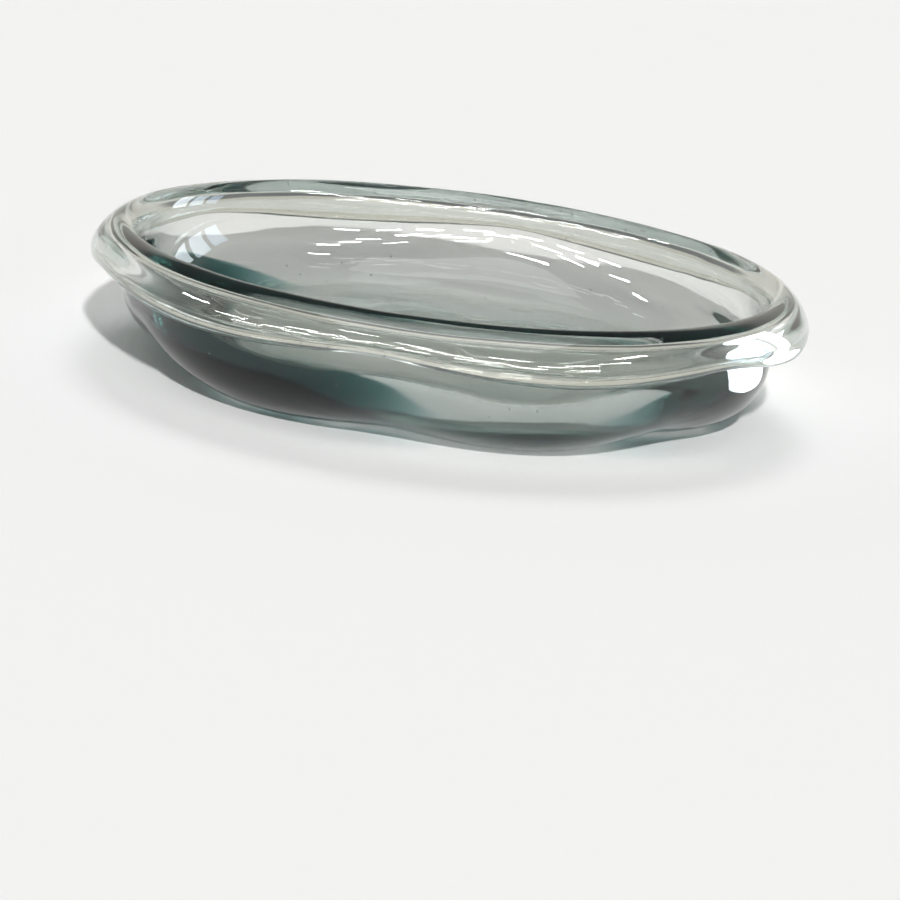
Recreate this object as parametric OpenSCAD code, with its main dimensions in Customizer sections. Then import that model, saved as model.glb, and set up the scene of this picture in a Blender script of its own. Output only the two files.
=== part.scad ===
// Lobed glass bowl, free-blown in one piece.
// Millimetres, +Z up. The origin is the middle of the flat base, and a lobe points along +X.

/* [Size] */
// Width across the lip, from lobe to lobe
rim_width = 320; // [300:1:340]
// Height from the base to the crest of the rim
height = 60; // [56:1:66]
// Thickness of the wall
wall = 5; // [4:0.5:6]
// Thickness of the floor, in the middle
floor_thickness = 13; // [10:0.5:15]

/* [Lobes] */
// Number of lobes round the body
lobes = 6; // [4:1:8]
// Softness of the crease between two lobes, from a sharp fold to a smooth wave
crease_softness = 0.3; // [0.1:0.05:0.6]
// Depth of the crease in the belly
belly_crease = 3.5; // [1:0.5:6]
// Depth of the crease in the edge of the base
base_crease = 26; // [10:1:30]
// How much of the crease shows in the edge of the inside floor
inner_share = 0.3; // [0.1:0.05:0.5]
// Rise of the lip over each crease
lip_rise = 5.5; // [0:0.25:6]

/* [Body] */
// Overhang of the lip beyond the belly
belly_inset = 15; // [14:0.5:19]
// Height of the widest part of the belly
belly_height = 29; // [24:0.5:32]
// Width of the flat base, from lobe to lobe
base_width = 218; // [190:1:225]
// How far the inside floor reaches beyond the edge of the base
floor_reach = 9; // [4:0.5:11]
// Diameter of the polished hollow in the base
pontil_width = 46; // [30:1:60]
// Depth of the polished hollow in the base
pontil_depth = 2; // [1:0.25:3]

/* [Rim] */
// Distance from the crest of the rim out to the tip of the lip
rim_reach = 13.5; // [12:0.5:15]
// Drop from the crest of the rim to the tip of the lip
rim_drop = 15.5; // [14:0.5:17]
// Drop from the tip of the lip to its foot
lip_depth = 6.5; // [5:0.25:7]
// Thickness of the lip
lip_thickness = 6.5; // [5:0.25:7]
// Thickness of the fold, from the crest down to the groove under the rim
fold_thickness = 7; // [6:0.25:8]
// Drop from the crest of the rim to the neck, where the wall starts to fold
neck_drop = 13; // [12:0.5:15]
// Distance from the crest of the rim in to the outside of the neck
neck_inset = 2.5; // [1.5:0.25:3.5]

/* [Smoothness] */
// Steps round the bowl
steps = 84; // [72:12:120]

/* [Hidden] */

// Points on each curve of the section, from the edge of the base to the middle of the floor
curve_points = [9, 3, 3, 4, 3, 3, 7, 5, 11, 3];

// Handle of a curve that makes a quarter ellipse, as a share of its side
quarter = 0.5523;
// The same for the flatter face of the rim
rim_sweep = 0.4;
// Handle of the nearly straight wall between the belly and the neck
wall_run = 8;
// Slope of the floor where it meets the wall, as a handle
floor_slope = [12, 0.5];
// Rise of the floor from its middle to its edge
floor_dish = 2.5;
// Half the width of the level middle of the floor
floor_level_r = 15;

// Depth of the crease in the tip of the lip
lip_crease = 1;
// How far the groove under the rim lies outside the crest
groove_shift = 1.5;
// Hollow behind the lip, its drop below the tip, and its share of the lip's rise
lip_hollow = 1;
hollow_drop = 1.5;
hollow_rise = 0.6;
// Drop from the groove to the throat, where the inside wall starts
throat_drop = 3;

// Handles of the curves round the rim, in the order that the section meets them
neck_leave = 3.3;
groove_reach = 2;
groove_leave = 3;
hollow_reach = [1, -4];
hollow_leave = [0.7, -2.5];
foot_reach = 1.5;
foot_leave = 1.8;
tip_reach = 3;
crest_leave = 4.5;
throat_reach = 5;

rim_r = rim_width / 2;
crest_r = rim_r - rim_reach;
neck_r = crest_r - neck_inset;
belly_r = rim_r - belly_inset;
base_r = base_width / 2;
lip_z = height - rim_drop;
up = [0, 1];
out = [1, 0];

// Weight of the lobe at an angle: 1 on the middle of a lobe, 0 in a crease
function lobe_weight(angle) =
    let (wave = cos(lobes * angle / 2))
    (norm([wave, crease_softness]) - crease_softness)
    / (norm([1, crease_softness]) - crease_softness);

// Point at t on a cubic Bezier curve
function bezier(p, t) =
    p[0] * pow(1 - t, 3) + p[1] * 3 * t * pow(1 - t, 2)
    + p[2] * 3 * t * t * (1 - t) + p[3] * pow(t, 3);

// Points of the curve that leaves a along u and reaches b along v, without the first point
function sweep(a, u, b, v, n) = [for (i = [1:n]) bezier([a, a + u, b - v, b], i / n)];

// Section of the bowl in the plane of one angle, as [radius, height] points:
// from the edge of the base up the outside, round the lip, over the crest and down to the floor
function section(weight) =
    let (
        crease = 1 - weight,
        n = curve_points,
        base_edge = [base_r - base_crease * crease, 0],
        belly = [belly_r - belly_crease * crease, belly_height],
        neck = [neck_r, height - neck_drop],
        groove = [crest_r + groove_shift, height - fold_thickness],
        lip = [rim_r - lip_crease * crease, lip_z + lip_rise * crease / 2],
        lip_foot = [lip[0] - lip_thickness / 2, lip_z - lip_depth + lip_rise * crease],
        lip_back = [lip[0] - lip_thickness - lip_hollow,
                    lip_z - hollow_drop + lip_rise * crease * hollow_rise],
        crest = [crest_r, height],
        throat = [neck_r - wall, height - fold_thickness - throat_drop],
        floor_edge = [base_r + floor_reach - base_crease * inner_share * crease,
                      floor_thickness + floor_dish],
        floor_level = [floor_level_r, floor_thickness]
    )
    concat(
        [base_edge],
        sweep(base_edge, out * (belly[0] - base_edge[0]) * quarter,
              belly, up * belly_height * quarter, n[0]),
        sweep(belly, up * wall_run, neck, up * wall_run, n[1]),
        sweep(neck, up * neck_leave, groove, out * groove_reach, n[2]),
        sweep(groove, out * groove_leave, lip_back, hollow_reach, n[3]),
        sweep(lip_back, hollow_leave, lip_foot, out * foot_reach, n[4]),
        sweep(lip_foot, out * foot_leave, lip, up * tip_reach, n[5]),
        sweep(lip, up * rim_drop * rim_sweep, crest, -out * rim_reach * rim_sweep, n[6]),
        sweep(crest, -out * crest_leave, throat, -up * throat_reach, n[7]),
        sweep(throat, -up * (throat[1] - floor_edge[1]) * quarter, floor_edge, -floor_slope, n[8]),
        sweep(floor_edge, -floor_slope, floor_level, -out * floor_level_r, n[9])
    );

// Loft of the section all the way round, closed by the base and the floor
module blown_glass() {
    rings = [
        for (i = [0:steps - 1])
            let (angle = i * 360 / steps)
            [for (p = section(lobe_weight(angle))) [p[0] * cos(angle), p[0] * sin(angle), p[1]]]
    ];
    count = len(rings[0]);
    points = concat([for (ring = rings) each ring], [[0, 0, 0], [0, 0, floor_thickness]]);
    base_middle = steps * count;
    floor_middle = base_middle + 1;
    skin = [
        for (i = [0:steps - 1], j = [0:count - 2])
            let (a = i * count + j, b = ((i + 1) % steps) * count + j)
            each [[a, a + 1, b], [b, a + 1, b + 1]]
    ];
    caps = [
        for (i = [0:steps - 1])
            let (a = i * count, b = ((i + 1) % steps) * count)
            each [[a, b, base_middle], [b + count - 1, a + count - 1, floor_middle]]
    ];
    polyhedron(points, concat(skin, caps), convexity = 6);
}

// Ball whose cap is the polished hollow that takes away the blowpipe mark
module pontil_grind() {
    ball_r = (pow(pontil_width / 2, 2) + pow(pontil_depth, 2)) / (2 * pontil_depth);
    translate([0, 0, pontil_depth - ball_r]) sphere(ball_r, $fn = 96);
}

module bowl() {
    color([0.78, 0.84, 0.85, 0.6])
        difference() {
            blown_glass();
            pontil_grind();
        }
}

bowl();
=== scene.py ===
# %% [markdown]
# # A lobed bowl of blown glass
# The real bowl is one melt of thick, faintly blue-grey glass: a flat ground base, a body pressed into six
# lobes, and a rim that was softened in the fire and rolled out until it hung down as a lip. Glass has next
# to no colour of its own, so this lesson is about two things: a surface that is uneven in the way that hot
# glass is uneven, and light for that surface to bend.

import math
import random

import bmesh
import bpy
import numpy as np
from mathutils import Matrix, Vector, noise


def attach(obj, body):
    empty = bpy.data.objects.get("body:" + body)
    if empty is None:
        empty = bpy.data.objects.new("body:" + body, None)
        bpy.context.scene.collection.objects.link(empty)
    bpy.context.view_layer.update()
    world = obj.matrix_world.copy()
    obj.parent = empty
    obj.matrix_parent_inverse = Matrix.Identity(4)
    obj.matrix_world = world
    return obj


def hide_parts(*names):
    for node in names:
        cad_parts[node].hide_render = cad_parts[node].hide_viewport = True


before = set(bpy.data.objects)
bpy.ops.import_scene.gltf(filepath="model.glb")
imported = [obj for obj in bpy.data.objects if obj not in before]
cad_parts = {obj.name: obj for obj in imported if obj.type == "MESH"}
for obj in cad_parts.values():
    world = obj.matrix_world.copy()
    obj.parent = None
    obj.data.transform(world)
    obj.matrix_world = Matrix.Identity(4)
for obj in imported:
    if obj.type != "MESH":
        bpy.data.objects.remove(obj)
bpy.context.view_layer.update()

# %% [markdown]
# ## The section of the bowl
# Sawn through the middle, the glass would show one closed outline: up the outside of the body, into the
# groove under the rim, round the lip, over the crest and down the inside to the floor. Blender could spin
# one curve round the axis, but the lobes change the outline at every angle. So the outline is a few named
# points joined by Bezier curves, and numpy works it out for all the angles at once. The sizes are those of
# the solid, so the two agree.

# %% Sizes of the body, in millimetres
MILLIMETRE = 0.001

rim_r = 160.0
height = 60.0
wall = 5.0
belly_inset = 15.0
belly_height = 29.0
base_r = 109.0
floor_thickness = 13.0
floor_dish = 2.5
floor_reach = 9.0
floor_level_r = 15.0
pontil_r = 23.0
pontil_depth = 2.0

belly_r = rim_r - belly_inset
print("bowl, mm across:", 2 * rim_r, "height:", height)

# %% Sizes of the rim, in millimetres
rim_reach = 13.5
rim_drop = 15.5
lip_depth = 6.5
lip_thickness = 6.5
lip_hollow = 1.0
hollow_drop = 1.5
fold_thickness = 7.0
groove_shift = 1.5
throat_drop = 3.0
neck_drop = 13.0
neck_inset = 2.5

crest_r = rim_r - rim_reach
neck_r = crest_r - neck_inset
lip_z = height - rim_drop
print("crest, mm across:", 2 * crest_r, "neck:", 2 * neck_r)

# %% The lobes: how deep the creases between them are, from the base up to the lip
STEPS_ROUND = 240
LOBES = 6
CREASE_SOFTNESS = 0.3

base_crease = 26.0
inner_share = 0.3
belly_crease = 3.5
lip_crease = 1.0
lip_rise = 5.5
hollow_rise = 0.6

angle = np.arange(STEPS_ROUND) * 2 * np.pi / STEPS_ROUND
wave = np.cos(LOBES * angle / 2)
lobe = (np.hypot(wave, CREASE_SOFTNESS) - CREASE_SOFTNESS) / (np.hypot(1, CREASE_SOFTNESS) - CREASE_SOFTNESS)
crease = 1 - lobe
print("lobes:", LOBES, "steps round:", STEPS_ROUND)

# %% Points and curves of the section
UP = np.array([0.0, 1.0])
OUT = np.array([1.0, 0.0])
QUARTER = 0.5523


def points(radius, level):
    """One [radius, height] point for every angle."""
    radius, level = np.broadcast_arrays(radius + 0 * crease, level + 0 * crease)
    return np.stack([radius, level], axis=-1)


def column(values):
    return values[:, None]


def sweep(start, leave, end, arrive, steps):
    """The curve that leaves start along one handle and reaches end along the other, for every angle."""
    t = (np.arange(1, steps + 1) / steps)[None, :, None]
    handles = (start, start + leave, end - arrive, end)
    p = [np.broadcast_to(h, (STEPS_ROUND, 2))[:, None, :] for h in handles]
    return p[0] * (1 - t) ** 3 + 3 * p[1] * t * (1 - t) ** 2 + 3 * p[2] * t * t * (1 - t) + p[3] * t**3


# %% The named points, from the base to the floor
base_edge = points(base_r - base_crease * crease, 0.0)
belly = points(belly_r - belly_crease * crease, belly_height)
neck = points(neck_r, height - neck_drop)
groove = points(crest_r + groove_shift, height - fold_thickness)
lip = points(rim_r - lip_crease * crease, lip_z + lip_rise * crease / 2)
lip_foot = points(lip[:, 0] - lip_thickness / 2, lip_z - lip_depth + lip_rise * crease)
lip_back = points(lip[:, 0] - lip_thickness - lip_hollow,
                  lip_z - hollow_drop + lip_rise * crease * hollow_rise)
crest = points(crest_r, height)
throat = points(neck_r - wall, height - fold_thickness - throat_drop)
floor_edge = points(base_r + floor_reach - base_crease * inner_share * crease, floor_thickness + floor_dish)
floor_level = points(floor_level_r, floor_thickness)
print("base, mm across: lobes", 2 * base_edge[:, 0].max(), "creases", 2 * base_edge[:, 0].min())

# %% Handles of the curves, in the order that the section meets them
RIM_SWEEP = 0.4

base_leave = column(belly[:, 0] - base_edge[:, 0]) * OUT * QUARTER
belly_reach = UP * belly_height * QUARTER
wall_run = UP * 8.0
neck_leave = UP * 3.3
groove_reach = OUT * 2.0
groove_leave = OUT * 3.0
hollow_reach = np.array([1.0, -4.0])
hollow_leave = np.array([0.7, -2.5])
foot_reach = OUT * 1.5
foot_leave = OUT * 1.8
tip_reach = UP * 3.0
tip_leave = UP * rim_drop * RIM_SWEEP
crest_reach = -OUT * rim_reach * RIM_SWEEP
crest_leave = -OUT * 4.5
throat_reach = -UP * 5.0
throat_leave = column(floor_edge[:, 1] - throat[:, 1]) * UP * QUARTER
floor_slope = np.array([-12.0, -0.5])
level_reach = -OUT * floor_level_r
print("handle up from the tip of the lip, mm:", round(tip_leave[1], 2))

# %% The curves between the points
curves = {
    "base": base_edge[:, None, :],
    "body": sweep(base_edge, base_leave, belly, belly_reach, steps=40),
    "wall": sweep(belly, wall_run, neck, wall_run, steps=14),
    "neck": sweep(neck, neck_leave, groove, groove_reach, steps=10),
    "groove": sweep(groove, groove_leave, lip_back, hollow_reach, steps=12),
    "lip_back": sweep(lip_back, hollow_leave, lip_foot, foot_reach, steps=8),
    "lip": sweep(lip_foot, foot_leave, lip, tip_reach, steps=10),
    "rim": sweep(lip, tip_leave, crest, crest_reach, steps=28),
    "crest": sweep(crest, crest_leave, throat, throat_reach, steps=20),
    "inside": sweep(throat, throat_leave, floor_edge, floor_slope, steps=52),
    "floor": sweep(floor_edge, floor_slope, floor_level, level_reach, steps=32),
}
section = np.concatenate(list(curves.values()), axis=1)
zone = np.concatenate([[name] * curve.shape[1] for name, curve in curves.items()])
print("points in the section:", section.shape[1])

# %% [markdown]
# ## Uneven glass
# A blown wall is never a perfect surface. It swells and thins by a few tenths of a millimetre, and the
# jacks and the wet paper leave faint rings that run round it. Those waves are what break a lamp's
# reflection into the short bright dashes that make glass look like glass. They are real shape, so they go
# into the mesh: noise pushes each point along its own normal, in swells, in rings and in a stronger wave
# over the inside floor. The ground base stays flat.


# %% Places and normals of the even skin
def on_the_bowl(section):
    """The points of the section, turned to their angles."""
    r, z = section[..., 0], section[..., 1]
    return np.stack([r * column(np.cos(angle)), r * column(np.sin(angle)), z], axis=-1)


def noise_at(places):
    flat = places.reshape(-1, 3)
    return np.array([noise.noise(Vector(p)) for p in flat]).reshape(places.shape[:-1])


skin = on_the_bowl(section)
round_step = np.roll(skin, -1, axis=0) - np.roll(skin, 1, axis=0)
normal = np.cross(round_step, np.gradient(skin, axis=1))
normal /= np.linalg.norm(normal, axis=-1, keepdims=True)

along = np.linalg.norm(np.diff(skin, axis=1), axis=-1).cumsum(axis=1)
along = np.concatenate([np.zeros((STEPS_ROUND, 1)), along], axis=1)
turn = np.broadcast_to(column(angle), along.shape)
print("length of the section, mm:", round(along[0, -1], 1))

# %% Noise for the swells and rings
SWELL_LENGTH = 55.0
RING_SPACING = 8.0
RING_CIRCLE = 2.7
FINE_RING_SPACING = 4.0
FINE_RING_CIRCLE = 5.0
FINE_RING_SHIFT = 9.0
FLOOR_SWELL_LENGTH = 48.0
FLOOR_SWELL_SHIFT = 7.3


def ring_noise(circle, spacing, shift=0.0):
    """Noise that is slow round the bowl and quick along the section; a larger circle has more waves."""
    x = np.cos(turn) * circle + shift
    y = np.sin(turn) * circle
    return noise_at(np.stack([x, y, along / spacing], axis=-1))


swell = noise_at(skin / SWELL_LENGTH)
rings = ring_noise(RING_CIRCLE, RING_SPACING)
fine_rings = ring_noise(FINE_RING_CIRCLE, FINE_RING_SPACING, FINE_RING_SHIFT)
floor_swell = noise_at(skin / FLOOR_SWELL_LENGTH + FLOOR_SWELL_SHIFT)
print("swell from", round(swell.min(), 2), "to", round(swell.max(), 2))

# %% Where the noise grows and fades, by radius or by height in millimetres
FLOOR_GROWS = (20.0, 80.0)
FLOOR_FADES = (128.0, 140.0)
BASE_GROWS = (0.5, 8.5)
MIDDLE_R = 60.0
MIDDLE_LEAST = 0.15


def rise(low, high, values):
    """0 up to low, 1 from high on, and a straight line between them."""
    return np.clip((values - low) / (high - low), 0, 1)


radius, level = section[..., 0], section[..., 1]
is_inside = np.isin(zone, ["inside", "floor"])[None, :]
on_floor = is_inside * rise(*FLOOR_GROWS, radius) * (1 - rise(*FLOOR_FADES, radius))
is_low = np.isin(zone, ["base", "body"])[None, :]
off_base = np.where(is_low, rise(*BASE_GROWS, level), 1.0) * np.clip(radius / MIDDLE_R, MIDDLE_LEAST, 1)
print("points that stay in the plane of the base:", int((off_base == 0).sum()))

# %% Push the points along their normals
SWELL = 0.40
RING = 0.11
FINE_RING = 0.055
FLOOR_SWELL = 0.8

push = off_base * (SWELL * swell + RING * rings + FINE_RING * fine_rings)
push += on_floor * FLOOR_SWELL * floor_swell
skin = skin + normal * push[..., None]
print("unevenness, mm: from", round(push.min(), 2), "to", round(push.max(), 2))

# %% [markdown]
# ## The hollow in the base
# The iron that held the hot bowl leaves a scar, which is ground away and polished to a shallow round
# hollow. It is a cap of a large ball, so a few rings of points from the middle out to its edge are enough.

# %% Rings of the polished hollow
HOLLOW_RINGS = 8
HOLLOW_FIRST_R = 4.0

ball_r = (pontil_r**2 + pontil_depth**2) / (2 * pontil_depth)
hollow_r = np.linspace(HOLLOW_FIRST_R, pontil_r, HOLLOW_RINGS)
hollow_z = np.maximum(np.sqrt(ball_r**2 - hollow_r**2) - (ball_r - pontil_depth), 0)
hollow = np.stack([np.broadcast_to(hollow_r, (STEPS_ROUND, HOLLOW_RINGS)),
                   np.broadcast_to(hollow_z, (STEPS_ROUND, HOLLOW_RINGS))], axis=-1)
shell = np.concatenate([on_the_bowl(hollow), skin], axis=1)
print("ball of the hollow, mm across:", round(2 * ball_r))

# %% [markdown]
# ## Seeds
# Small gas bubbles, which glassmakers call seeds, stay behind in the melt. In this bowl they lie in a row
# inside the lip, where the wall folded over, and in the thick glass of the lobes and the floor. A seed is a
# hole in the glass, so it is a tiny ball in the same mesh with its faces turned inwards: light leaves the
# glass there and comes back in on the far side.

# %% Seeds in the lip
random.seed(11)
LIP_SEEDS = 120
LIP_SEED_ASIDE = (-0.8, 0.9)
LIP_SEED_LIFT = (-2.6, 0.5)
LIP_SEED_TURN = (-0.013, 0.013)
LIP_SEED_RADIUS = (0.20, 0.42)


def seed_in_lip():
    """Angle, distance from the axis, height and radius of one seed."""
    i = random.randrange(STEPS_ROUND)
    r = lip[i, 0] - lip_thickness / 2 + random.uniform(*LIP_SEED_ASIDE)
    z = lip[i, 1] + random.uniform(*LIP_SEED_LIFT)
    return angle[i] + random.uniform(*LIP_SEED_TURN), r, z, random.uniform(*LIP_SEED_RADIUS)


seeds = [seed_in_lip() for _ in range(LIP_SEEDS)]
print("seeds in the lip:", len(seeds))

# %% Seeds in the lobes and the floor
LOBE_SEEDS = 70
LOBE_SEED_HEIGHT = (9.5, 26.0)
LOBE_SEED_DEPTH = (0.3, 0.7)
FLOOR_SEEDS = 30
FLOOR_SEED_REACH = 100
FLOOR_SEED_HEIGHT = (3.2, 11.0)
SEED_RADIUS = (0.22, 0.60)


def seed_in_lobe():
    i = random.randrange(STEPS_ROUND)
    z = random.uniform(*LOBE_SEED_HEIGHT)
    body, inside = curves["body"][i], curves["inside"][i][::-1]
    outer = np.interp(z, body[:, 1], body[:, 0])
    inner = np.interp(z, inside[:, 1], inside[:, 0])
    r = inner + (outer - inner) * random.uniform(*LOBE_SEED_DEPTH)
    return angle[i], r, z, random.uniform(*SEED_RADIUS)


def seed_in_floor():
    turn_at = random.uniform(0, 2 * math.pi)
    r = FLOOR_SEED_REACH * math.sqrt(random.random())
    return turn_at, r, random.uniform(*FLOOR_SEED_HEIGHT), random.uniform(*SEED_RADIUS)


seeds += [seed_in_lobe() for _ in range(LOBE_SEEDS)]
seeds += [seed_in_floor() for _ in range(FLOOR_SEEDS)]
print("seeds:", len(seeds))

# %% [markdown]
# ## One closed mesh
# The shell is a grid of points, so its faces are simple to list: one square between two steps round and
# two points along. Two fans of triangles close the middle of the base and of the floor. All the normals
# point out of the glass, which tells the renderer where glass begins and ends.

# %% Faces of the shell
count = shell.shape[1]
corners = shell.reshape(-1, 3).tolist()
base_middle = len(corners)
floor_middle = base_middle + 1
corners += [[0, 0, pontil_depth], [0, 0, float(shell[:, -1, 2].mean())]]

faces = []
for i in range(STEPS_ROUND):
    here = i * count
    there = (i + 1) % STEPS_ROUND * count
    faces += [(here + j, there + j, there + j + 1, here + j + 1) for j in range(count - 1)]
    faces.append((here, base_middle, there))
    faces.append((there + count - 1, floor_middle, here + count - 1))
print("faces of the shell:", len(faces))

# %% Faces of the seeds
ball = bmesh.new()
bmesh.ops.create_icosphere(ball, subdivisions=1, radius=1.0)
ball_points = [v.co.copy() for v in ball.verts]
ball_faces = [[v.index for v in reversed(f.verts)] for f in ball.faces]
ball.free()

for turn_at, r, z, size in seeds:
    start = len(corners)
    middle = Vector((r * math.cos(turn_at), r * math.sin(turn_at), z))
    corners += [list(middle + p * size) for p in ball_points]
    faces += [[start + v for v in face] for face in ball_faces]
print("faces of one seed:", len(ball_faces))

# %% The mesh and its object
glass_mesh = bpy.data.meshes.new("glass_bowl")
glass_mesh.from_pydata([[v * MILLIMETRE for v in corner] for corner in corners], [], faces)
glass_mesh.polygons.foreach_set("use_smooth", [True] * len(glass_mesh.polygons))
glass_mesh.update()
glass_bowl = bpy.data.objects.new("glass_bowl", glass_mesh)
bpy.context.scene.collection.objects.link(glass_bowl)

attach(glass_bowl, "root")
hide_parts("bowl")
print("faces:", len(glass_mesh.polygons), "points:", len(glass_mesh.vertices))

# %% [markdown]
# ## Painted shade low in the body
# The low corner of the body is the thickest glass of the bowl, and the even absorption of the volume already
# darkens it. Over that, a dark, blue-green foot is painted on, more in some lobes than in others: it is
# painted shade, which stands for dark surroundings seen in the glass, not for extra glass. Its depth is
# worked out for each point of the outside, from its height and its lobe, and, as glass takes the same share
# of the light with every millimetre, the colour that is left is an exponential of that depth. It is kept on
# the points as a colour, over a clearer glass in the rim and a body that is painted greyer, which is painted
# shade too.

# %% Painted shade of the dark foot, lobe by lobe, with heights in millimetres
# Painted shade: how dark the foot of each lobe is painted, and up to which height.
LOBE_PAINTED_SHADE = (0.7, 0.0, 0.0, 0.8, 1.0, 0.0)
LOBE_TOP = (28.0, 4.0, 4.0, 28.0, 25.0, 4.0)
CREASE_BLEND = (0.15, 0.75)
FOOT_LOW = (1.0, 5.0)
FOOT_EDGE = 1.5
FOOT_WAVE = 2.5
FOOT_WAVE_CIRCLE = 4.0


def smooth(low, high, values):
    t = rise(low, high, values)
    return t * t * (3 - 2 * t)


lobe_at = angle * LOBES / (2 * np.pi)
lobe_before = np.floor(lobe_at).astype(int) % LOBES
over_crease = smooth(*CREASE_BLEND, lobe_at % 1)


def from_lobe_to_lobe(values):
    """A value for every angle, which changes over the creases."""
    values = np.array(values)
    return column(values[lobe_before] * (1 - over_crease) + values[(lobe_before + 1) % LOBES] * over_crease)


# The painted shade of the foot at each angle, blended over the creases, and the height that it reaches.
lobe_shade = from_lobe_to_lobe(LOBE_PAINTED_SHADE)
foot_top = from_lobe_to_lobe(LOBE_TOP)
on_body = np.concatenate([np.zeros(HOLLOW_RINGS), np.isin(zone, ["body", "wall"]) * 1.0])[None, :]
around = np.stack([np.cos(angle), np.sin(angle), 0 * angle], axis=-1)
mark = shell[..., 2] - FOOT_WAVE * column(noise_at(around * FOOT_WAVE_CIRCLE))
foot = on_body * lobe_shade * smooth(*FOOT_LOW, mark) * (1 - smooth(0, FOOT_EDGE, mark - foot_top))
print("thickest foot:", round(foot.max(), 2))

# %% Glass colour under the painted shade of the foot and the body
RIM_GLASS = np.array([0.92, 0.91, 0.88])
# Painted shade: the body is painted greyer than the rim, fading out between these heights.
BODY_SHADE_COLOUR = np.array([0.72, 0.69, 0.67])
BODY_SHADE_FADES = (20.0, 34.0)
# How fast the painted shade of the foot darkens each colour, per unit of its depth.
FOOT_SHADE_TAKES = np.array([10.0, 6.0, 6.0])

# Glass colour with the painted shade of the body and of the foot, for each point.
body_shade = (on_body * (1 - smooth(*BODY_SHADE_FADES, shell[..., 2])))[..., None]
tint_with_shade = (RIM_GLASS + (BODY_SHADE_COLOUR - RIM_GLASS) * body_shade) * np.exp(-foot[..., None] * FOOT_SHADE_TAKES)
tints = np.ones((len(glass_mesh.vertices), 4))
tints[:foot.size, :3] = tint_with_shade.reshape(-1, 3)
# Kept on the points as a colour attribute: the glass tint with its painted shade.
glass_mesh.attributes.new("tint_and_painted_shade", "FLOAT_COLOR", "POINT").data.foreach_set("color", tints.ravel())
print("darkest tint:", [round(float(v), 4) for v in tint_with_shade.reshape(-1, 3).min(axis=0)])

# %% [markdown]
# ## Marks on the glass
# Two finer things happen on the skin of the glass. The hot surface wrinkles in hair-fine lines round the
# bowl, too shallow to need points of their own. And the flat base wears where it slides over tables, in a
# scratched, satin ring. Each is a group of shader nodes with named inputs, which puts out a height or a
# roughness, so that it could be set again for another glass.


# %% Helpers for node groups
def new_group(name, inputs, outputs):
    """An empty shader group with named number sockets."""
    group = bpy.data.node_groups.new(name, "ShaderNodeTree")
    for title, value in inputs.items():
        socket = group.interface.new_socket(name=title, in_out="INPUT", socket_type="NodeSocketFloat")
        socket.default_value = value
    for title in outputs:
        group.interface.new_socket(name=title, in_out="OUTPUT", socket_type="NodeSocketFloat")
    return group, group.nodes.new("NodeGroupInput"), group.nodes.new("NodeGroupOutput")


def node(tree, kind, operation=None, **values):
    """A new node; values are set on its inputs, by name, or by number as i0 or i1."""
    made = tree.nodes.new("ShaderNode" + kind)
    if operation:
        made.operation = operation
    for key, value in values.items():
        made.inputs[int(key[1:]) if key[1:].isdigit() else key].default_value = value
    return made


def join(tree, *pairs):
    for source, target in pairs:
        tree.links.new(source, target)


# %% Hair-fine lines round the bowl
LINE_CIRCLE = 5.0

fire_lines, lines_in, lines_out = new_group("fire_lines", {"Spacing": 0.0035}, ["Height"])
place = node(fire_lines, "NewGeometry")
split = node(fire_lines, "SeparateXYZ")
flat_place = node(fire_lines, "CombineXYZ")
side = node(fire_lines, "VectorMath", "NORMALIZE")
reach = node(fire_lines, "VectorMath", "LENGTH")
climb = node(fire_lines, "Math", "ADD")
pitch = node(fire_lines, "Math", "DIVIDE")
side_split = node(fire_lines, "SeparateXYZ")
slow_x = node(fire_lines, "Math", "MULTIPLY", i1=LINE_CIRCLE)
slow_y = node(fire_lines, "Math", "MULTIPLY", i1=LINE_CIRCLE)
line_place = node(fire_lines, "CombineXYZ")
line_noise = node(fire_lines, "TexNoise", Scale=1.0, Detail=2.0)
join(fire_lines,
     (place.outputs["Position"], split.inputs[0]),
     (split.outputs["X"], flat_place.inputs["X"]),
     (split.outputs["Y"], flat_place.inputs["Y"]),
     (flat_place.outputs[0], side.inputs[0]),
     (flat_place.outputs[0], reach.inputs[0]),
     (reach.outputs["Value"], climb.inputs[0]),
     (split.outputs["Z"], climb.inputs[1]),
     (climb.outputs[0], pitch.inputs[0]),
     (lines_in.outputs["Spacing"], pitch.inputs[1]),
     (side.outputs["Vector"], side_split.inputs[0]),
     (side_split.outputs["X"], slow_x.inputs[0]),
     (side_split.outputs["Y"], slow_y.inputs[0]),
     (slow_x.outputs[0], line_place.inputs["X"]),
     (slow_y.outputs[0], line_place.inputs["Y"]),
     (pitch.outputs[0], line_place.inputs["Z"]),
     (line_place.outputs[0], line_noise.inputs["Vector"]),
     (line_noise.outputs[0], lines_out.inputs["Height"]))
print("group:", fire_lines.name, len(fire_lines.nodes), "nodes")

# %% The worn ring under the base
FLAT_BELOW = 0.0003

worn_ring, ring_in, ring_out = new_group(
    "worn_ring", {"Radius": 0.076, "Width": 0.004, "Satin": 0.5}, ["Roughness"])
place = node(worn_ring, "NewGeometry")
split = node(worn_ring, "SeparateXYZ")
is_flat = node(worn_ring, "Math", "LESS_THAN", i1=FLAT_BELOW)
flat_place = node(worn_ring, "CombineXYZ")
reach = node(worn_ring, "VectorMath", "LENGTH")
off_ring = node(worn_ring, "Math", "SUBTRACT")
aside = node(worn_ring, "Math", "ABSOLUTE")
widths_aside = node(worn_ring, "Math", "DIVIDE")
on_ring = node(worn_ring, "Math", "SUBTRACT", i0=1.0)
on_ring.use_clamp = True
scratches = node(worn_ring, "TexNoise", Scale=900.0, Detail=3.0)
worn = node(worn_ring, "Math", "MULTIPLY")
satin = node(worn_ring, "Math", "MULTIPLY")
masked = node(worn_ring, "Math", "MULTIPLY")
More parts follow.
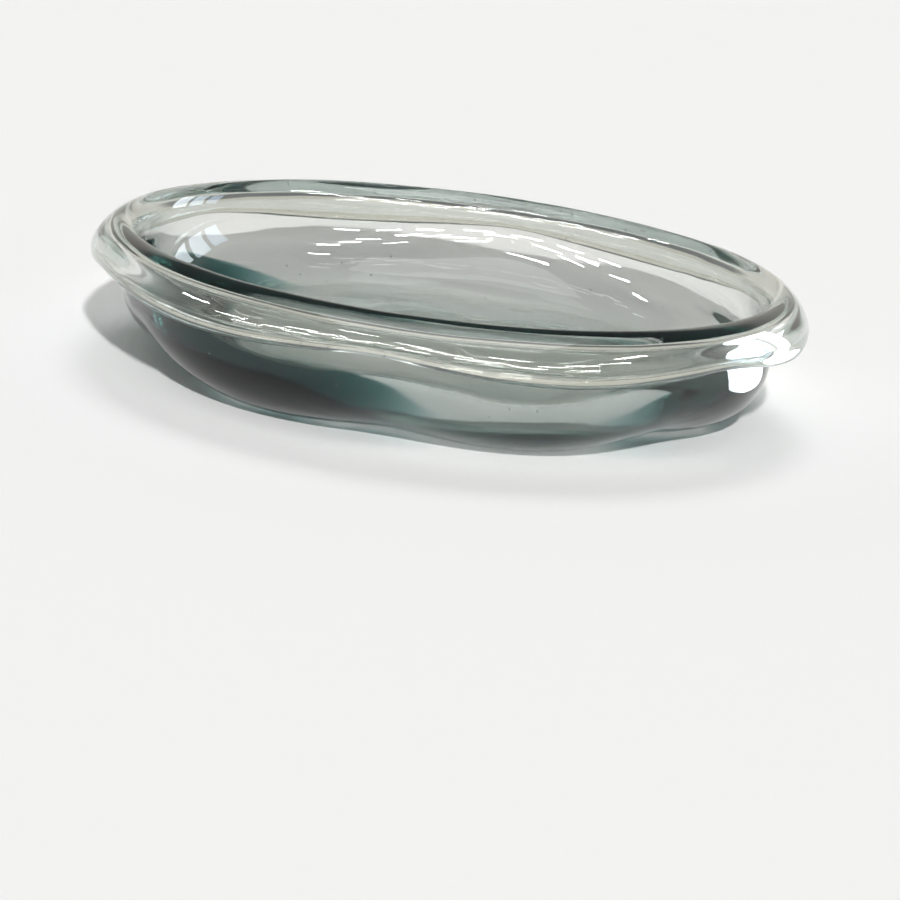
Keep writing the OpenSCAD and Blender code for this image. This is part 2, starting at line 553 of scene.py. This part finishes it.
join(worn_ring,
     (place.outputs["Position"], split.inputs[0]),
     (split.outputs["Z"], is_flat.inputs[0]),
     (split.outputs["X"], flat_place.inputs["X"]),
     (split.outputs["Y"], flat_place.inputs["Y"]),
     (flat_place.outputs[0], reach.inputs[0]),
     (reach.outputs["Value"], off_ring.inputs[0]),
     (ring_in.outputs["Radius"], off_ring.inputs[1]),
     (off_ring.outputs[0], aside.inputs[0]),
     (aside.outputs[0], widths_aside.inputs[0]),
     (ring_in.outputs["Width"], widths_aside.inputs[1]),
     (widths_aside.outputs[0], on_ring.inputs[1]),
     (place.outputs["Position"], scratches.inputs["Vector"]),
     (scratches.outputs[0], worn.inputs[0]),
     (on_ring.outputs[0], worn.inputs[1]),
     (worn.outputs[0], satin.inputs[0]),
     (ring_in.outputs["Satin"], satin.inputs[1]),
     (satin.outputs[0], masked.inputs[0]),
     (is_flat.outputs[0], masked.inputs[1]),
     (masked.outputs[0], ring_out.inputs["Roughness"]))
print("group:", worn_ring.name, len(worn_ring.nodes), "nodes")

# %% [markdown]
# ## The glass
# Clear glass is a Principled shader with all of its weight on transmission. Its faint colour comes from
# the iron in the melt, so it is an absorption in the volume: thin walls then look almost colourless, and
# thick glass, where light travels a long way, turns blue-green by itself. The tint of the points adds
# painted shade on the surface, where light goes into the glass and where it leaves: the dark foot of some
# lobes and a greyer body.

# %% Material of the blown glass
TAKEN_PER_METRE = (14.0, 10.0, 10.4)
ABSORPTION_DENSITY = 28.0
GLASS_IOR = 1.5
LINE_DEPTH = 0.000002

blown_glass = bpy.data.materials.new("blown_glass")
blown_glass.use_nodes = True
tree = blown_glass.node_tree
surface = tree.nodes["Principled BSDF"]
surface.inputs["IOR"].default_value = GLASS_IOR
surface.inputs["Transmission Weight"].default_value = 1.0

melt = node(tree, "VolumeAbsorption", Density=ABSORPTION_DENSITY)
melt.inputs["Color"].default_value = (*(1 - a / ABSORPTION_DENSITY for a in TAKEN_PER_METRE), 1)
# The points' colour, with its painted shade, goes into Base Color.
tint = node(tree, "Attribute")
tint.attribute_name = "tint_and_painted_shade"
lines = node(tree, "Group")
lines.node_tree = fire_lines
wrinkle = node(tree, "Bump", Strength=1.0, Distance=LINE_DEPTH)
ring = node(tree, "Group")
ring.node_tree = worn_ring
join(tree,
     (melt.outputs[0], tree.nodes["Material Output"].inputs["Volume"]),
     (tint.outputs["Color"], surface.inputs["Base Color"]),
     (lines.outputs["Height"], wrinkle.inputs["Height"]),
     (wrinkle.outputs["Normal"], surface.inputs["Normal"]),
     (ring.outputs["Roughness"], surface.inputs["Roughness"]))
glass_mesh.materials.append(blown_glass)
print("glass takes per metre:", TAKEN_PER_METRE)

# %% [markdown]
# ## The floor
# Glass shows what is around it, so the floor is part of its look. It is one large pale sheet, matt, and a
# hair under the base, so that the two faces don't share a plane.

# %% A pale matt floor
FLOOR_SIZE = 60
FLOOR_GAP = 0.0003
FLOOR_COLOUR = (0.93, 0.93, 0.93, 1)

bpy.ops.mesh.primitive_plane_add(size=FLOOR_SIZE, location=(0, 0, -FLOOR_GAP))
pale_floor = bpy.context.object
pale_floor.name = "pale_floor"
floor_paint = bpy.data.materials.new("floor_paint")
floor_paint.use_nodes = True
paint = floor_paint.node_tree.nodes["Principled BSDF"]
paint.inputs["Base Color"].default_value = FLOOR_COLOUR
paint.inputs["Roughness"].default_value = 0.9
paint.inputs["Specular IOR Level"].default_value = 0.0
pale_floor.data.materials.append(floor_paint)
print("floor, metres across:", FLOOR_SIZE)

# %% [markdown]
# ## The studio
# A bowl in an evenly white tent would almost vanish. Its edges are drawn by contrast, so the walls of this
# studio are pale and its ceiling is dark: the crest of the rim then turns dark, and the round of the lip
# stays bright. The world is a ramp by height, from wall to ceiling.

# %% Pale walls and a dark ceiling: a colour at each elevation, in degrees
STUDIO = (
    (0, (0.74, 0.72, 0.67)),
    (24, (0.78, 0.75, 0.69)),
    (34, (0.19, 0.195, 0.20)),
    (90, (0.17, 0.175, 0.18)),
)

studio = bpy.data.worlds.new("studio")
bpy.context.scene.world = studio
studio.use_nodes = True
tree = studio.node_tree
direction = node(tree, "TexCoord")
split = node(tree, "SeparateXYZ")
ramp = node(tree, "ValToRGB")
ramp.color_ramp.interpolation = "EASE"
while len(ramp.color_ramp.elements) < len(STUDIO):
    ramp.color_ramp.elements.new(0.5)
for stop, (elevation, colour) in zip(ramp.color_ramp.elements, STUDIO):
    stop.position = math.sin(math.radians(elevation))
    stop.color = (*colour, 1)
join(tree,
     (direction.outputs["Generated"], split.inputs[0]),
     (split.outputs["Z"], ramp.inputs[0]),
     (ramp.outputs[0], tree.nodes["Background"].inputs["Color"]))
print("colours of the studio:", len(STUDIO))

# %% [markdown]
# ## The camera
# The camera looks down on the bowl by some thirteen degrees, through a long lens, and is rolled a little,
# so that the rim slopes. It is placed by the point that it looks at: the middle of the base lies left of
# the middle of the picture and above it.

# %% Camera at the photograph's angle
CAMERA_AZIMUTH = math.radians(10)
CAMERA_ELEVATION = math.radians(13.3)
CAMERA_ROLL = math.radians(6.9)
CAMERA_DISTANCE = 1.6
PIXELS_PER_METRE = 2238.7
BASE_PIXEL = (438.3, 380.9)
PICTURE = 900

towards = Vector((math.sin(CAMERA_AZIMUTH) * math.cos(CAMERA_ELEVATION),
                  -math.cos(CAMERA_AZIMUTH) * math.cos(CAMERA_ELEVATION),
                  math.sin(CAMERA_ELEVATION)))
level_right = Vector((math.cos(CAMERA_AZIMUTH), math.sin(CAMERA_AZIMUTH), 0))
level_up = towards.cross(level_right)
right = level_right * math.cos(CAMERA_ROLL) + level_up * math.sin(CAMERA_ROLL)
up = level_up * math.cos(CAMERA_ROLL) - level_right * math.sin(CAMERA_ROLL)
print("direction to the camera:", [round(v, 3) for v in towards])

# %% Aim and lens
SENSOR_WIDTH = 36

stand = towards * CAMERA_DISTANCE
across, down = (PICTURE / 2 - BASE_PIXEL[0], PICTURE / 2 - BASE_PIXEL[1])
aim = right * (across / PIXELS_PER_METRE) - up * (down / PIXELS_PER_METRE)
forward = (aim - stand).normalized()
right = forward.cross(up).normalized()
up = right.cross(forward)

camera_data = bpy.data.cameras.new("camera")
camera_data.sensor_width = SENSOR_WIDTH
camera_data.lens = PIXELS_PER_METRE * CAMERA_DISTANCE / PICTURE * SENSOR_WIDTH
camera = bpy.data.objects.new("camera", camera_data)
camera.matrix_world = Matrix.Translation(stand) @ Matrix((right, up, -forward)).transposed().to_4x4()
bpy.context.scene.collection.objects.link(camera)
bpy.context.scene.camera = camera
print("lens, mm:", round(camera_data.lens, 1))

# %% [markdown]
# ## The lamps
# Two suns light the floor. The low one stands behind the camera, so the bowl's shadow falls behind the
# bowl and greys what is seen through the glass; the high one comes from the back and leaves a soft shadow
# under the body. A ceiling card, a window of three panes at the right, a small oval card low beside the
# right lobe and rows of thin ceiling tubes are there for the reflections alone: they light nothing else.

# %% Helpers for the lamps
MIDDLE_OF_BOWL = (0, 0, 0.03)
SUN_DISTANCE = 3
scene = bpy.context.scene


def hang(name, data, azimuth, elevation, distance, target=MIDDLE_OF_BOWL):
    """Places a lamp by its direction from the bowl, seen from the camera's side, and aims it."""
    swing = math.radians(azimuth) + CAMERA_AZIMUTH - math.pi / 2
    tilt = math.radians(elevation)
    lamp = bpy.data.objects.new(name, data)
    lamp.location = Vector((math.cos(swing) * math.cos(tilt), math.sin(swing) * math.cos(tilt),
                            math.sin(tilt))) * distance
    lamp.rotation_mode = "QUATERNION"
    lamp.rotation_quaternion = (Vector(target) - lamp.location).to_track_quat("-Z", "Y")
    lamp.visible_camera = False
    scene.collection.objects.link(lamp)
    return lamp


def sun(name, azimuth, elevation, strength, softness):
    data = bpy.data.lights.new(name, "SUN")
    data.energy = strength
    data.angle = math.radians(softness)
    lamp = hang(name, data, azimuth, elevation, SUN_DISTANCE)
    lamp.visible_glossy = False
    lamp.visible_transmission = False


def reflection_card(name, azimuth, elevation, distance, width, tall, brightness, colour=(1, 1, 1),
                    target=MIDDLE_OF_BOWL):
    """A lamp that is seen in the glass and lights nothing matt."""
    data = bpy.data.lights.new(name, "AREA")
    data.shape = "RECTANGLE"
    data.size = width
    data.size_y = tall
    data.energy = brightness * math.pi * width * tall
    data.color = colour
    lamp = hang(name, data, azimuth, elevation, distance, target)
    lamp.visible_diffuse = False
    return lamp


# %% Suns and ceiling card
sun("front_sun", azimuth=6, elevation=31, strength=2.9, softness=2.5)
sun("back_sun", azimuth=180, elevation=60, strength=0.65, softness=25)
reflection_card("ceiling", azimuth=0, elevation=72, distance=2.6, width=2.4, tall=1.6,
                brightness=2.4, colour=(0.95, 0.98, 1))
print("lamps:", len(bpy.data.lights))

# %% The window, in three panes
WINDOW_DISTANCE = 2.2
WINDOW_PANES = {
    "left": dict(azimuth=109, elevation=14, width=0.26, tall=0.8, brightness=5, colour=(0.62, 0.80, 1)),
    "middle": dict(azimuth=119, elevation=14, width=0.30, tall=0.9, brightness=6, colour=(0.74, 0.88, 1)),
    "right": dict(azimuth=130, elevation=12, width=0.34, tall=0.9, brightness=7, colour=(0.86, 0.94, 1)),
}
for pane, values in WINDOW_PANES.items():
    reflection_card(f"window_pane_{pane}", distance=WINDOW_DISTANCE, **values)
print("panes:", len(WINDOW_PANES))

# %% The small card beside the right lobe, with a narrow beam
SHOULDER_RIGHT = 0.132
SHOULDER_TOWARDS = 0.054
SHOULDER_HEIGHT = 0.03
LOW_CARD_BEAM = 60

level_towards = Vector((math.sin(CAMERA_AZIMUTH), -math.cos(CAMERA_AZIMUTH), 0))
shoulder = level_right * SHOULDER_RIGHT + level_towards * SHOULDER_TOWARDS + Vector((0, 0, SHOULDER_HEIGHT))
low_card = reflection_card("low_card", azimuth=85.5, elevation=5.2, distance=0.186, width=0.06, tall=0.036,
                           brightness=1.3, colour=(0.86, 0.93, 1), target=shoulder)
low_card.data.shape = "ELLIPSE"
low_card.data.spread = math.radians(LOW_CARD_BEAM)
low_card.visible_transmission = False
print("low card stands at:", [round(v, 3) for v in low_card.location])

# %% Rows of ceiling tubes: the elevation of each row, and the azimuths along it
TUBE_DISTANCE = 3.2
TUBE_LENGTH = 0.6
TUBE_WIDTH = 0.09
TUBE_BRIGHTNESS = 70
TUBES = {
    11: (-62, -44, -27, -10, 9, 26, 44),
    16: (-52, -18, 17),
    20: (-70, -35, 5, 35),
    25: (-45, -5, 45),
    30: (-90, -10, 22, 58),
    40: (-30, 70),
}
for elevation, azimuths in TUBES.items():
    for azimuth in azimuths:
        reflection_card(f"tube_{elevation}_{azimuth}", azimuth, elevation, TUBE_DISTANCE,
                        TUBE_LENGTH, TUBE_WIDTH, TUBE_BRIGHTNESS)
print("lamps with the tubes:", len(bpy.data.lights))

# %% [markdown]
# ## Colour and light paths
# The Standard view shows colours as they are written. A ray through thick glass bends and bounces many
# times before it is out again, so it is allowed more bounces than usual.

# %% View and bounces
scene.view_settings.view_transform = "Standard"
scene.cycles.max_bounces = 32
scene.cycles.glossy_bounces = 24
scene.cycles.transmission_bounces = 32
print("most bounces:", scene.cycles.max_bounces)
